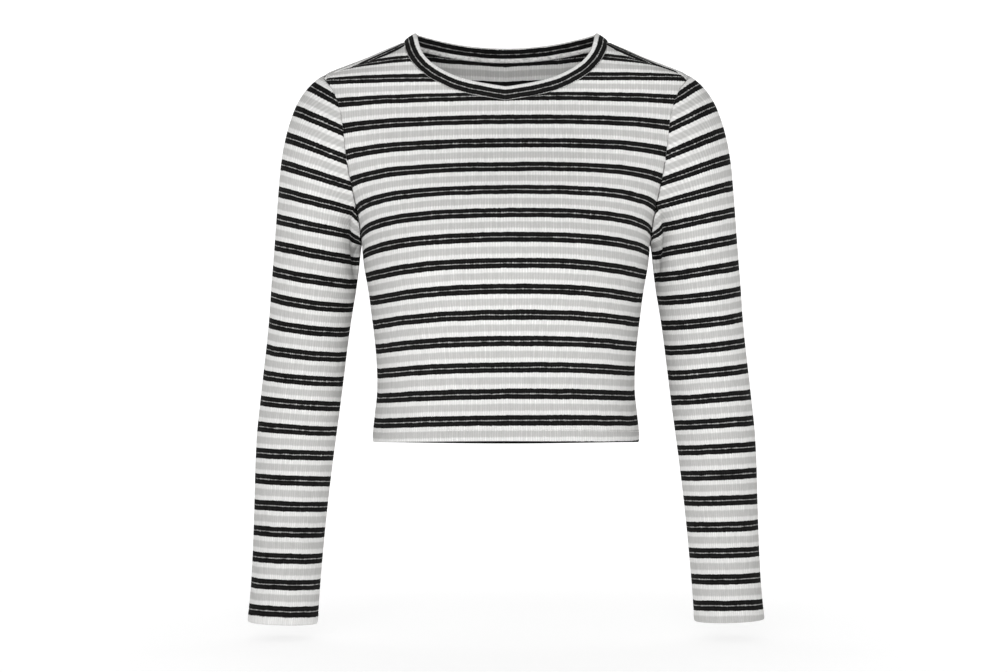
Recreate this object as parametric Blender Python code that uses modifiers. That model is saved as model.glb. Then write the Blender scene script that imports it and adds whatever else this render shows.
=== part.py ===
"""Cropped long-sleeved top in striped rib knit, filled out as when it is worn, with no wearer.

Five cut pieces: front, back, two set-in sleeves and a folded neckband. Each is a wall of cloth
with the turned-up hem at double thickness. The pieces lie 0.3 mm apart at every seam.
Metres, +Z up, the front faces -Y, and X is the line of symmetry's normal. The origin lies on
that line between the two shoulders, at the height where they carry the garment.
"""
import bmesh
import bpy
import numpy as np

MM = 0.001

# Driving dimensions.
CLOTH = 1.4 * MM             # wall of rib knit, ribs included
HALF_GAP = 0.16 * MM         # each piece stops this far from a seam's own line
SIDE_HALF_GAP = 0.28 * MM    # wider outside, because the walls bend towards each other inside
SHOULDER_HALF_GAP = 0.43 * MM
SLEEVE_GAP = 0.25 * MM
HEM_TURN = 13 * MM           # depth of the turned-up hem and cuffs
HEM_STEP = 1.5 * MM          # over which the second layer ends
HEM_SIDE_HEIGHT = -423.7 * MM
HEM_TILT = 4.8 * MM          # the hem rises this much at the front, and drops it at the back
FULLNESS = 0.25              # how much a body section bulges beyond an ellipse towards its sides

UNDERARM_HEIGHT = -213 * MM
ARMHOLE_TOP_HEIGHT = -31.5 * MM
ARMHOLE_HALF_DEPTH = 44 * MM
ARMHOLE_STEPS = 30           # points round an armhole, one every 12 degrees
SHOULDER_SEAM_STEP = 2       # the shoulder seam meets the armhole this many steps forward of its top
SHOULDER_SEAM_BOW = np.radians(6)      # how far the seam bows forward near the neck
YOKE_STEP = 5                # and the yoke's lower line meets it here
TURN_STEP = {1: 7, -1: 11}   # where the armhole runs along a rib, in steps from its top: front, back

NECK_HALF_WIDTH = 107 * MM
NECK_SIDE_BOW = 1.5 * MM               # the neck's sides bow out this much over the ridge
NECK_POINT_ANGLE = np.radians(26.8)    # how far forward of the ridge the shoulder seam starts
NECK_FRONT_DROP = 59.5 * MM            # from the neck point to the seam at centre front
NECK_FRONT_POWER = 1.12
NECK_BACK_CORNER = 14 * MM             # behind the ridge, where the back neck curve begins
NECK_BACK_DROP = 12.4 * MM
NECK_BACK_POWER = 2.6
NECK_CORNER = np.radians(50)           # the turn of the neck's edge at which the yoke begins
BAND_WIDTH = 15.4 * MM
BAND_HALF_THICKNESS = 1.4 * MM
BAND_GAP = {"outside": 0.5 * MM, "inside": 1.0 * MM}   # the band leans in from the neck's edge
BAND_RISE = {"front": 72, "side": 35, "back": 46}   # degrees above level, towards the neck

NECK_COLUMNS = 7             # columns of the mesh from the centre line to the neck's corner
SHOULDER_COLUMNS = 9         # and from there to the armhole
LOWER_ROWS = 11              # rows from the top of the hem to the armhole
EDGE_ROW = 0.3               # an extra row this share of a row in from the neck and shoulder seam
MIDDLE_ROW_DIP = 18 * MM     # how far the row at the armhole's turn sags at the centre line


def table(columns, *rows):
    """A table in millimetres as named columns in metres, in order of its first column."""
    values = np.array(sorted(rows), dtype=float) * MM
    return dict(zip(columns.split(), values.T))


TORSO = table(
    "height half_width front back",
    (14, 84, 36, 48),
    (3, 109.5, 41, 56),
    (-5.5, 129.5, 43.5, 61),
    (-14, 149, 46, 66),
    (-21.3, 168, 48, 69),
    (-31.5, 192.5, 51, 73),
    (-50, 200.5, 54.5, 78),
    (-66, 203, 59, 82),
    (-84, 201.5, 65.5, 85.5),
    (-104, 195, 74, 88.5),
    (-126, 186, 84, 91),
    (-150, 174.5, 96, 92.5),
    (-171, 165.5, 106, 93),
    (-192, 158, 115, 92.5),
    (-213, 154, 121, 91.5),
    (-238, 151, 124, 89),
    (-262, 146.7, 122, 86),
    (-290, 143, 116, 83),
    (-318, 139.6, 109, 80.5),
    (-345, 137.6, 103.5, 79.5),
    (-370, 137.4, 101, 80.5),
    (-395, 140, 100.5, 83),
    (-415, 142, 101.5, 85),
    (-432, 141.5, 102, 86),
)

SLEEVE = table(
    "along outer_x outer_z inner_x inner_z half_depth centre_y",
    (0, 192.5, -31.5, 154, -213, 44, 0),
    (12, 201.5, -37.2, 154.9, -215.4, 45, 0),
    (26, 211.6, -47.2, 155.5, -218, 46, 0),
    (42, 221.2, -61.5, 155.9, -220.8, 47, 0),
    (62, 229.4, -82, 156.1, -223.8, 47.8, 0),
    (84, 235.3, -104, 156.3, -227.2, 48, 0),
    (106, 239.3, -128, 156.5, -231, 48, 0),
    (128, 241.6, -153, 156.8, -235.5, 47.5, 0),
    (150, 243.5, -178, 157.3, -241.5, 47, -0.3),
    (174, 245.3, -204, 158.4, -250, 46.4, -0.7),
    (200, 247.3, -231, 160.6, -263, 45.8, -1.2),
    (228, 249.5, -259, 163.8, -282, 45, -1.8),
    (258, 251.3, -288, 167.3, -305, 44.2, -2.6),
    (290, 254, -318, 170.6, -331, 43.4, -3.6),
    (322, 257.3, -348, 173.8, -358, 42.6, -5),
    (354, 260.6, -379, 177.4, -387, 41.8, -6.8),
    (388, 263.9, -412, 181.4, -418, 41, -9),
    (422, 265.5, -446, 185.5, -450.5, 40, -11.5),
    (456, 266.2, -480, 189.3, -483.5, 39, -14),
    (490, 267, -514, 192.7, -517, 38, -16.5),
    (524, 268.1, -547, 195.6, -550, 37, -19),
    (556, 269.8, -579, 198.1, -581.5, 36.2, -21),
    (590, 273.1, -612.3, 199.9, -614.6, 35.8, -22.5),
)


def smooth(at, columns, name):
    """A table's column as a cubic through its rows, with the slope at each row from its neighbours."""
    known, values = list(columns.values())[0], columns[name]
    slopes = np.gradient(values, known)
    row = np.clip(np.searchsorted(known, at) - 1, 0, len(known) - 2)
    width = known[row + 1] - known[row]
    t = (at - known[row]) / width
    return (values[row] * (1 + 2 * t) * (1 - t) ** 2 + values[row + 1] * t**2 * (3 - 2 * t)
            + width * (slopes[row] * t * (1 - t) ** 2 - slopes[row + 1] * t**2 * (1 - t)))


def bulge(angle):
    """Depth of a body section at an angle from its side, as a share of its depth at the centre."""
    return np.sin(angle) * (1 + FULLNESS * np.cos(angle) ** 2)


def form(angle, height):
    """A point of the filled-out body. The angle is 0 at its side, 90 degrees at centre front."""
    depth = np.where(angle > 0, smooth(height, TORSO, "front"), smooth(height, TORSO, "back"))
    x = smooth(height, TORSO, "half_width") * np.cos(angle)
    return np.stack(np.broadcast_arrays(x, -depth * bulge(angle), height), axis=-1)


def angle_at(x, height, side):
    """The form's angle where it is x wide at a height: side is 1 at the front and -1 at the back."""
    return side * np.arccos(np.clip(x / smooth(height, TORSO, "half_width"), 0, 1))


def angle_round(distance, height, side):
    """The form's angle where the way round from the centre line at a height is this long."""
    angles = side * np.linspace(np.pi / 2, 0, 121)
    line = form(angles, np.asarray(height)[..., None])
    length = np.cumsum(np.linalg.norm(np.diff(line, axis=-2), axis=-1), axis=-1)
    length = np.concatenate([np.zeros_like(length[..., :1]), length], axis=-1)
    wanted = np.minimum(distance, length[..., -1])[..., None]
    before = np.clip((length < wanted).sum(axis=-1, keepdims=True) - 1, 0, len(angles) - 2)
    low = np.take_along_axis(length, before, axis=-1)
    high = np.take_along_axis(length, before + 1, axis=-1)
    share = ((wanted - low) / (high - low))[..., 0]
    return angles[before[..., 0]] * (1 - share) + angles[before[..., 0] + 1] * share


def way_round(angle, height, side):
    """The length round the form from the centre line to an angle, at one height."""
    line = form(np.linspace(side * np.pi / 2, angle, 121), height)
    return np.linalg.norm(np.diff(line, axis=0), axis=1).sum()


def ridge_height(half_width):
    """The height at which the shoulders are this wide: the ridge that slopes out from the neck."""
    heights = np.linspace(ARMHOLE_TOP_HEIGHT - 15 * MM, 10 * MM, 200)
    return np.interp(-half_width, -smooth(heights, TORSO, "half_width"), heights)


def crown(x, y):
    """The height of the shoulder over a point of the plan, found by halving."""
    x, y = np.broadcast_arrays(x, y)
    low, high = np.full(x.shape, -80 * MM), ridge_height(x)
    for _ in range(40):
        middle = (low + high) / 2
        reach = np.abs(form(angle_at(x, middle, -np.sign(y)), middle)[..., 1])
        low, high = np.where(reach > np.abs(y), middle, low), np.where(reach > np.abs(y), high, middle)
    return (low + high) / 2


def armhole(steps):
    """The armhole's angle and height on the form, counted in steps from its top, the front first."""
    turn = 2 * np.pi * np.asarray(steps) / ARMHOLE_STEPS
    half_height = (ARMHOLE_TOP_HEIGHT - UNDERARM_HEIGHT) / 2
    height = UNDERARM_HEIGHT + half_height * (1 + np.cos(turn))
    depth = np.where(np.sin(turn) > 0, smooth(height, TORSO, "front"), smooth(height, TORSO, "back"))
    angles = np.linspace(0, 1, 400)
    angle = np.interp(ARMHOLE_HALF_DEPTH * np.abs(np.sin(turn)) / depth, bulge(angles), angles)
    return np.sign(np.sin(turn)) * angle, height


def armhole_normal():
    """The way out of the body through an armhole, square to its plane."""
    top, bottom = form(*armhole(0)), form(*armhole(ARMHOLE_STEPS / 2))
    along = (top - bottom) / np.linalg.norm(top - bottom)
    return np.array([along[2], 0, -along[0]])


def shoulder_seam():
    """Points of the form along the shoulder seam, from the neck point out to the armhole."""
    end_angle, end_height = armhole(SHOULDER_SEAM_STEP)
    along = np.linspace(0, 1, SHOULDER_COLUMNS + 1)
    x = NECK_HALF_WIDTH + (form(end_angle, end_height)[0] - NECK_HALF_WIDTH) * along
    angle = NECK_POINT_ANGLE + (end_angle - NECK_POINT_ANGLE) * along
    angle += SHOULDER_SEAM_BOW * np.sin(np.pi * np.sqrt(along))
    return form(angle, np.append(ridge_height(x / np.cos(angle))[:-1], end_height))


def with_edge_row(grid):
    """The grid with one more row, close to its last."""
    return np.insert(grid, -1, grid[-1] + (grid[-2] - grid[-1]) * EDGE_ROW, axis=0)


def patch(bottom, top, left, right):
    """A grid between four edges that meet at its corners, each interior point pulled by all four."""
    s = np.linspace(0, 1, len(bottom))[None, :, None]
    t = np.linspace(0, 1, len(left))[:, None, None]
    across = (1 - t) * bottom[None] + t * top[None]
    upward = (1 - s) * left[:, None] + s * right[:, None]
    corners = ((1 - s) * (1 - t) * bottom[0] + s * (1 - t) * bottom[-1]
               + (1 - s) * t * top[0] + s * t * top[-1])
    return across + upward - corners


def neck_curve(side, turn):
    """X and Z of the neck's edge, by the turn from its centre (0) to the neck point (a right angle)."""
    fall = np.maximum(np.cos(turn), 0)
    if side > 0:
        height = shoulder_seam()[0, 2] - NECK_FRONT_DROP * fall**NECK_FRONT_POWER
    else:
        height = crown(NECK_HALF_WIDTH, NECK_BACK_CORNER) - NECK_BACK_DROP * fall**NECK_BACK_POWER
    return np.stack([NECK_HALF_WIDTH * np.sin(turn), height], axis=-1)


def on_form(flat, side):
    """The form's points in front of or behind points given by X and Z."""
    return form(angle_at(flat[..., 0], flat[..., 1], side), flat[..., 1])


def body_panel(side):
    """Half of the front or back as grids of points, with its half of the neck's edge.

    The columns follow the knit's ribs up from the hem. The outer ones end at the lower armhole.
    The others pass through a middle block and then end at the neck, or go on through a yoke to
    the shoulder seam. The back's yoke goes on over the ridge, because the seam lies forward of it.
    """
    lower_angles, lower_heights = armhole(side * np.arange(TURN_STEP[side], ARMHOLE_STEPS // 2 + 1))
    ends = [way_round(a, h, side) for a, h in zip(lower_angles, lower_heights)]
    corner_x = NECK_HALF_WIDTH * np.sin(NECK_CORNER)
    corner = way_round(angle_at(corner_x, lower_heights[0], side), lower_heights[0], side)
    ribs = np.concatenate([np.linspace(0, corner, NECK_COLUMNS + 1),
                           np.linspace(corner, ends[0], SHOULDER_COLUMNS + 1)[1:], ends[1:]])
    inner = NECK_COLUMNS + SHOULDER_COLUMNS + 1

    # From the hem to the armhole's turn.
    middle = lower_heights[0] - MIDDLE_ROW_DIP * np.cos(np.pi / 2 * ribs[:inner] / ends[0]) ** 2
    tops = np.append(middle, lower_heights[1:])
    hem = HEM_SIDE_HEIGHT + side * HEM_TILT * np.cos(np.pi / 2 * ribs / ends[-1])
    above_hem = hem + HEM_TURN + HEM_STEP
    heights = np.stack([hem, hem + HEM_TURN, *np.linspace(above_hem, tops, LOWER_ROWS + 1)])
    quarter = np.vectorize(lambda height: way_round(0, height, side))(heights)
    spread = np.where(heights < UNDERARM_HEIGHT, quarter / ends[-1], 1)
    angles = angle_round(ribs * spread, heights, side)
    angles[:, -1] = 0
    angles[-1, inner - 1:] = lower_angles
    lower = form(side * np.abs(angles), heights)

    # From there to the centre of the neck and the bottom of the yoke.
    arm = form(*armhole(side * np.arange(TURN_STEP[side], YOKE_STEP - 1, -1)))
    turns = np.linspace(0, NECK_CORNER, NECK_COLUMNS + 1)
    yoke_line = np.linspace(neck_curve(side, NECK_CORNER), arm[-1, [0, 2]], SHOULDER_COLUMNS + 1)
    bottom = lower[-1, :inner][:, [0, 2]]
    top = np.concatenate([neck_curve(side, turns), yoke_line[1:]])
    centre = np.linspace(bottom[0], top[0], len(arm))
    centre_block = on_form(with_edge_row(patch(bottom, top, centre, arm[:, [0, 2]])), side)
    centre_block[0], centre_block[:, -1] = lower[-1, :inner], with_edge_row(arm)

    # The yoke: on the front up to the shoulder seam, on the back up to a line behind the ridge.
    seam = shoulder_seam()
    arm = form(*armhole(side * np.arange(YOKE_STEP, SHOULDER_SEAM_STEP - 1, -1)))
    neck_side = neck_curve(side, np.linspace(NECK_CORNER, np.pi / 2, len(arm)))
    if side > 0:
        top = seam[:, [0, 2]]
    else:
        x = np.linspace(NECK_HALF_WIDTH, arm[-1, 0], SHOULDER_COLUMNS + 1)
        top = np.stack([x, crown(x, np.linspace(NECK_BACK_CORNER, arm[-1, 1], len(x)))], axis=-1)
    yoke = on_form(patch(yoke_line, top, neck_side, arm[:, [0, 2]]), side)
    yoke[0], yoke[:, -1] = centre_block[-1, NECK_COLUMNS:], arm
    neck = [centre_block[-1, :NECK_COLUMNS], yoke[:, 0]]
    if side > 0:
        yoke[-1] = seam
        return [lower, centre_block, yoke], np.concatenate(neck)

    # On the back, over the ridge to the shoulder seam.
    arm = form(*armhole(np.arange(-SHOULDER_SEAM_STEP, SHOULDER_SEAM_STEP + 1)))
    neck_side = np.linspace(yoke[-1, 0, :2], seam[0, :2], len(arm))
    neck_side[:, 0] += NECK_SIDE_BOW * np.sin(np.linspace(0, np.pi, len(arm)))
    plan = patch(yoke[-1, :, :2], seam[:, :2], neck_side, arm[:, :2])
    over = np.concatenate([plan, crown(plan[..., 0], plan[..., 1])[..., None]], axis=-1)
    over[0], over[-1], over[:, -1] = yoke[-1], seam, arm
    return [lower, centre_block, yoke, over], np.concatenate([*neck, over[1:, 0]])


def part_from_seams(grids, side):
    """Each seam edge moved its half of the gap: side seam, armhole and shoulder seam."""
    turn = NECK_COLUMNS + SHOULDER_COLUMNS
    grids[0][:, -1, 1] -= side * SIDE_HALF_GAP
    armhole_edges = [grids[0][-1, turn:], grids[1][1:, -1], *(grid[1:, -1] for grid in grids[2:])]
    for edge in armhole_edges:
        edge -= armhole_normal() * HALF_GAP
    grids[1][0] = grids[0][-1, :turn + 1]
    grids[2][0] = grids[1][-1, NECK_COLUMNS:]
    if side < 0:
        grids[3][0] = grids[2][-1]
    inward = grids[-1][-2] - grids[-1][-1]
    grids[-1][-1] += SHOULDER_HALF_GAP * inward / np.linalg.norm(inward, axis=1)[:, None]


def add_grid(mesh, points, wrap=False):
    """Quads between neighbouring points of a grid, facing out where rows rise and columns go +X."""
    rows, columns = points.shape[:2]
    verts = [mesh.verts.new(p) for p in points.reshape(-1, 3)]
    for i in range(rows - 1):
        for j in range(columns if wrap else columns - 1):
            k = (j + 1) % columns
            mesh.faces.new([verts[i * columns + j], verts[i * columns + k],
                            verts[(i + 1) * columns + k], verts[(i + 1) * columns + j]])


def add_piece(name, grids, material, flip=False, wrap=False):
    """A named object from grids of points, welded where they meet."""
    mesh = bmesh.new()
    for points in grids:
        add_grid(mesh, points, wrap)
    bmesh.ops.remove_doubles(mesh, verts=mesh.verts, dist=0.01 * MM)
    if flip:
        bmesh.ops.reverse_faces(mesh, faces=mesh.faces)
    data = bpy.data.meshes.new(name)
    mesh.to_mesh(data)
    mesh.free()
    data.shade_smooth()
    data.materials.append(material)
    piece = bpy.data.objects.new(name, data)
    collection.objects.link(piece)
    return piece


def add_mirror(piece):
    """The other half of a symmetric piece."""
    mirror = piece.modifiers.new("other half", "MIRROR")
    mirror.use_axis[0] = True
    mirror.merge_threshold = 0.05 * MM


def add_wall(piece, is_hem):
    """Cloth thickness inwards, twice as much where the hem is turned up."""
    group = piece.vertex_groups.new(name="turned up")
    hem = [v.index for v in piece.data.vertices if is_hem(v.co)]
    group.add(hem, 1.0, "REPLACE")
    wall = piece.modifiers.new("cloth", "SOLIDIFY")
    wall.thickness = 2 * CLOTH
    wall.offset = -1
    wall.vertex_group = group.name
    wall.thickness_vertex_group = 0.5


def add_panel(name, side, material):
    """The front or back: half of it, its mirror image and the wall's thickness."""
    grids, neck = body_panel(side)
    part_from_seams(grids, side)
    piece = add_piece(name, grids, material, flip=side < 0)
    add_mirror(piece)
    hem_top = HEM_SIDE_HEIGHT + HEM_TURN + 0.1 * MM
    reach = smooth(HEM_SIDE_HEIGHT, TORSO, "front" if side > 0 else "back")
    add_wall(piece, lambda p: p.z < hem_top + side * HEM_TILT * abs(p.y) / reach)
    return neck


def sleeve_rings():
    """Rings from the armhole to the cuff: ellipses whose first few turn into the armhole's curve."""
    turn = 2 * np.pi * np.arange(ARMHOLE_STEPS) / ARMHOLE_STEPS
    outer = np.stack([SLEEVE["outer_x"], SLEEVE["centre_y"], SLEEVE["outer_z"]], axis=-1)
    inner = np.stack([SLEEVE["inner_x"], SLEEVE["centre_y"], SLEEVE["inner_z"]], axis=-1)
    centre, reach = (outer + inner) / 2, (outer - inner) / 2
    rings = centre[:, None] + reach[:, None] * np.cos(turn)[:, None]
    rings[..., 1] -= SLEEVE["half_depth"][:, None] * np.sin(turn)
    seam = form(*armhole(np.arange(ARMHOLE_STEPS)))
    settle = np.exp(-(SLEEVE["along"] / SLEEVE["along"][2]) ** 2)
    settle[SLEEVE["along"] > SLEEVE["along"][6]] = 0
    rings += settle[:, None, None] * (seam - rings[0])
    rings[0] += armhole_normal() * SLEEVE_GAP
    return rings


def cuff_rings(rings):
    """The last ring, and two more that mark the turned-up cuff."""
    last, before = rings[-1], rings[-2]
    length = np.linalg.norm(last - before, axis=-1)[:, None]
    turned = last + (before - last) * HEM_TURN / length
    stepped = last + (before - last) * (HEM_TURN + HEM_STEP) / length
    return np.concatenate([rings[:-1], stepped[None], turned[None], last[None]])


def add_sleeve(name, hand, material):
    """A set-in sleeve: hand is 1 on the +X side and -1 on the other."""
    rings = cuff_rings(sleeve_rings())
    rings[..., 0] *= hand
    piece = add_piece(name, [rings], material, flip=hand < 0, wrap=True)
    marked = {tuple(np.float32(p)) for p in rings[-2:].reshape(-1, 3)}
    add_wall(piece, lambda p: tuple(np.float32(p)) in marked)
    return piece


def add_band(front_neck, back_neck, material):
    """The folded neckband: one half round from centre front to centre back, and its mirror image."""
    path = np.concatenate([front_neck, back_neck[::-1][1:]])
    mirrored = path[1] * [-1, 1, 1], path[-2] * [-1, 1, 1]
    along = np.concatenate([[mirrored[0]], path, [mirrored[1]]])
    tangent = along[2:] - along[:-2]
    tangent /= np.linalg.norm(tangent, axis=1)[:, None]
    outward = np.stack([-tangent[:, 1], tangent[:, 0], np.zeros(len(path))], axis=-1)
    outward *= -np.sign((outward * (np.array([0, 0, 0]) - path * [1, 1, 0])).sum(axis=1))[:, None]
    outward /= np.linalg.norm(outward, axis=1)[:, None]
    facing = np.degrees(np.arctan2(-outward[:, 1], outward[:, 0]))
    rise = np.radians(np.interp(facing, (-90, -15, 15, 90), (BAND_RISE["back"], BAND_RISE["side"],
                                                             BAND_RISE["side"], BAND_RISE["front"])))
    up = np.sin(rise)[:, None] * [0, 0, 1] - np.cos(rise)[:, None] * outward
    up -= (up * tangent).sum(axis=1)[:, None] * tangent
    up /= np.linalg.norm(up, axis=1)[:, None]
    face = np.cross(up, tangent)
    face *= np.sign((face * outward).sum(axis=1))[:, None]
    # The section, from the seam's outer edge over the fold to its inner edge.
    t = BAND_HALF_THICKNESS
    fold = [(BAND_WIDTH - t + t * np.cos(a), t * np.sin(a)) for a in np.radians((90, 45, 0, -45, -90))]
    section = [(BAND_GAP["outside"], 0.5 * t), (BAND_WIDTH / 3, t), *fold, (BAND_WIDTH / 3, -t),
               (BAND_GAP["inside"], -0.7 * t)]
    middle_of_wall = path - face * CLOTH / 2
    rings = np.stack([middle_of_wall + w * up + m * face for w, m in section])
    closed = np.concatenate([rings, rings[:1]])
    piece = add_piece("neckband", [closed], material)
    add_mirror(piece)
    return piece


def knit(name, shade):
    """A material for one piece: matt rib knit."""
    material = bpy.data.materials.new(name)
    material.use_nodes = True
    shader = material.node_tree.nodes["Principled BSDF"]
    shader.inputs["Base Color"].default_value = (*shade, 1)
    shader.inputs["Roughness"].default_value = 0.9
    shader.inputs["Metallic"].default_value = 0.0
    return material


for leftover in list(bpy.data.objects):
    bpy.data.objects.remove(leftover)
collection = bpy.data.collections.new("crop top")
bpy.context.scene.collection.children.link(collection)

front_curve = add_panel("front", 1, knit("front knit", (0.62, 0.62, 0.61)))
back_curve = add_panel("back", -1, knit("back knit", (0.58, 0.58, 0.57)))
add_sleeve("sleeve_left", -1, knit("left sleeve knit", (0.66, 0.66, 0.65)))
add_sleeve("sleeve_right", 1, knit("right sleeve knit", (0.66, 0.66, 0.65)))
add_band(front_curve, back_curve, knit("neckband knit", (0.05, 0.05, 0.05)))
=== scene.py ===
import bmesh
import bpy
import numpy as np
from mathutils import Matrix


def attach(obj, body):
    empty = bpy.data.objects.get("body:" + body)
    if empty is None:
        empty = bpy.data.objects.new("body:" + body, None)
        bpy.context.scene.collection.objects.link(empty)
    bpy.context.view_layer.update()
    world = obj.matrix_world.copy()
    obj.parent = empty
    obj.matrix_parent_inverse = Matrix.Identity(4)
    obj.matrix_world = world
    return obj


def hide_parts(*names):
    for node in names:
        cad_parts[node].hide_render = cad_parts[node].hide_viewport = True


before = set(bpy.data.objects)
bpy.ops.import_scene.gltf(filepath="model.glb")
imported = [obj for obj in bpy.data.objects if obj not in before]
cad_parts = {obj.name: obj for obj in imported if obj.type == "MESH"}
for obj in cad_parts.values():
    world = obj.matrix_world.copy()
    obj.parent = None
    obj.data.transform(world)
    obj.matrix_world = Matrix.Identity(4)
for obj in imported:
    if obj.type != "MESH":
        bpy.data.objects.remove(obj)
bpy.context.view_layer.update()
MM = 0.001

# ---------------------------------------------------------------------------------------------
# Front and back: two panels of fine rib knit with a yarn-dyed stripe, cut along the courses.
# They are sewn together at the sides and at the shoulders, a little forward of the ridge, and
# their hems are turned up 13 mm and stitched. Each is a thin shell with its ribs raised.
# ---------------------------------------------------------------------------------------------
RIB = 2.8 * MM                  # from one rib to the next
RIB_RELIEF = 0.34 * MM
POINTS_A_RIB = 4
CLOTH = 1.15 * MM
HEM_TURN = 13.6 * MM            # the hem's second layer ends here, under the upper row of stitches
HEM_ROWS = np.array([0, 0.5, 1.6, 6, 10, 11.2, 12.4, 13.6, 14.4, 16]) * MM
STITCH_ROWS = (5, 7)            # the two of those rows that are stitched
HEM_STAND = 0.12 * MM           # the doubled cloth stands out by this
STITCH_GROOVE = (0.28 * MM, 0.9 * MM)   # depth and half width of the groove along a row of stitches
EDGE_ROLL = (0.8 * MM, 1.4 * MM)  # the folded edge rolls in by this, over about this height
LOWER_ROWS = 46                 # from the stitched hem up to the armhole
BLOCK_ROWS = 18                 # from the armhole's narrowest point up to the neck, and over the ridge
MIDDLE_DIP = 14 * MM            # the lower block ends this much lower at the centre line
HEM_SIDE_HEIGHT = -423.7 * MM
HEM_TILT = 4.8 * MM
FULLNESS = 0.25
UNDERARM_HEIGHT = -213 * MM
ARMHOLE_TOP_HEIGHT = -31.5 * MM
ARMHOLE_HALF_DEPTH = 44 * MM
ARMHOLE_STEPS = 30
TURN_STEP = {1: 6.4, -1: 10.0}  # where the armhole runs along a rib: front, back
SHOULDER_SEAM_STEP = 2
SHOULDER_SEAM_BOW = np.radians(6)
NECK_HALF_WIDTH = 107 * MM
NECK_SIDE_BOW = 1.5 * MM
NECK_POINT_ANGLE = np.radians(26.8)
NECK_FRONT_DROP = 59.5 * MM
NECK_FRONT_POWER = 1.12
NECK_POINT = (2.4 * MM, 14 * MM)  # at centre front the neck falls a little more, and over what width
NECK_POINT_POWER = 1.4
NECK_BACK_CORNER = 14 * MM
NECK_BACK_DROP = 12.4 * MM
NECK_BACK_POWER = 2.6
SEAM_DIP = 0.6 * MM             # the cloth rolls in this much at a seam
SEAM_REACH = 1.7 * MM
SEAM_CALM = 6 * MM              # folds die out this near a seam
SIDE_SEAM_GAP = 0.3 * MM
ARMHOLE_LEAST_X = 140 * MM      # the armhole's edge lies further out than this
SAMPLES = 500                   # points along a curve on which places are looked up
ROUND_SAMPLES = 121             # the same round a quarter of a section


def table(columns, *rows):
    """A table in millimetres as named columns in metres, in order of its first column."""
    values = np.array(sorted(rows), dtype=float) * MM
    return dict(zip(columns.split(), values.T))


TORSO = table(
    "height half_width front back",
    (14, 84, 36, 48),
    (3, 109.5, 41, 56),
    (-5.5, 129.5, 43.5, 61),
    (-14, 149, 46, 66),
    (-21.3, 168, 48, 69),
    (-31.5, 192.5, 51, 73),
    (-50, 200.5, 54.5, 78),
    (-66, 203, 59, 82),
    (-84, 201.5, 65.5, 85.5),
    (-104, 195, 74, 88.5),
    (-126, 186, 84, 91),
    (-150, 174.5, 96, 92.5),
    (-171, 165.5, 106, 93),
    (-192, 158, 115, 92.5),
    (-213, 154, 121, 91.5),
    (-238, 151, 124, 89),
    (-262, 146.7, 122, 86),
    (-290, 143, 116, 83),
    (-318, 139.6, 109, 80.5),
    (-345, 137.6, 103.5, 79.5),
    (-370, 137.4, 101, 80.5),
    (-395, 140, 100.5, 83),
    (-415, 142, 101.5, 85),
    (-432, 141.5, 102, 86),
)

# The middle of each pair of black stripes, from the hem up: its height at the side seam, and how
# much higher the pair lies at centre front, half way there on the front, and at centre back.
BODY_PAIRS = table(
    "side front half_way back",
    (-400.5, 2.9, -1.7, -3.0), (-374.1, 3.9, -2.2, -3.0), (-348.0, 5.2, -2.7, -3.0),
    (-322.3, 6.6, -2.9, -2.6), (-296.2, 7.5, -3.7, -2.8), (-269.6, 7.4, -5.2, -3.4),
    (-246.0, 10.2, -4.8, -1.0), (-224.3, 15.4, -2.3, 3.3), (-207.0, 23.5, 0.0, 12.0),
    (-184.7, 25.4, 0.0, 15.7), (-157.3, 22.4, -0.2, 14.3), (-127.8, 18.2, -0.8, 11.0),
    (-95.2, 10.9, -1.9, 4.8), (-59.6, 0.6, -2.8, -4.4), (-36.4, -2.5, 0, -1.2),
    (-32.6, 18.9, 0, 20.0), (22.3, -26.8, 0, 0),
)
BODY_TILT = 0.0099              # the stripes on the body rise by this share towards +X

# Above the shoulder blades the back's stripes are counted along the cloth, over the shoulder. At
# each x this is the way up to the pair that lies just behind the shoulder seam.
BLADE_HEIGHT = -78 * MM
SHOULDER_PAIR = 17
OVER = table("x way", (0, 123.7), (60, 131), (107, 146), (117, 145), (126, 141), (137, 135.5),
             (147, 131.5), (157, 128), (170, 119), (185, 100), (195, 88))
OVER_SHIFT = 0.011              # the way is longer on the left by this share of x, shorter on the right
REPEAT = 27.4 * MM              # of the stripes, along the cloth


def smooth(at, columns, name):
    """A table's column as a cubic through its rows, with the slope at each row from its neighbours."""
    known, values = list(columns.values())[0], columns[name]
    slopes = np.gradient(values, known)
    row = np.clip(np.searchsorted(known, at) - 1, 0, len(known) - 2)
    width = known[row + 1] - known[row]
    t = (at - known[row]) / width
    return (values[row] * (1 + 2 * t) * (1 - t) ** 2 + values[row + 1] * t**2 * (3 - 2 * t)
            + width * (slopes[row] * t * (1 - t) ** 2 - slopes[row + 1] * t**2 * (1 - t)))


def spans(points, axis=0):
    """The distances between neighbouring points along one axis of a grid."""
    return np.linalg.norm(np.diff(points, axis=axis), axis=-1)


def unit(vectors):
    """The same directions, with a length of 1."""
    return vectors / np.linalg.norm(vectors, axis=-1, keepdims=True)


def bell(distance, width):
    """1 at no distance, falling off as exp(-(distance / width)^2)."""
    return np.exp(-(distance / width) ** 2)


def bracket(values, under):
    """The index of the last value under a limit, that value and the next, along the last axis."""
    before = np.clip(under.sum(axis=-1, keepdims=True) - 1, 0, values.shape[-1] - 2)
    return before, *(np.take_along_axis(values, before + k, axis=-1) for k in (0, 1))


def bulge(angle):
    """Depth of a body section as a share of the deepest: sin a (1 + k cos^2 a)."""
    return np.sin(angle) * (1 + FULLNESS * np.cos(angle) ** 2)


def depth_at(height, in_front):
    """The depth of the form's front or back at a height."""
    return np.where(in_front, smooth(height, TORSO, "front"), smooth(height, TORSO, "back"))


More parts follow.
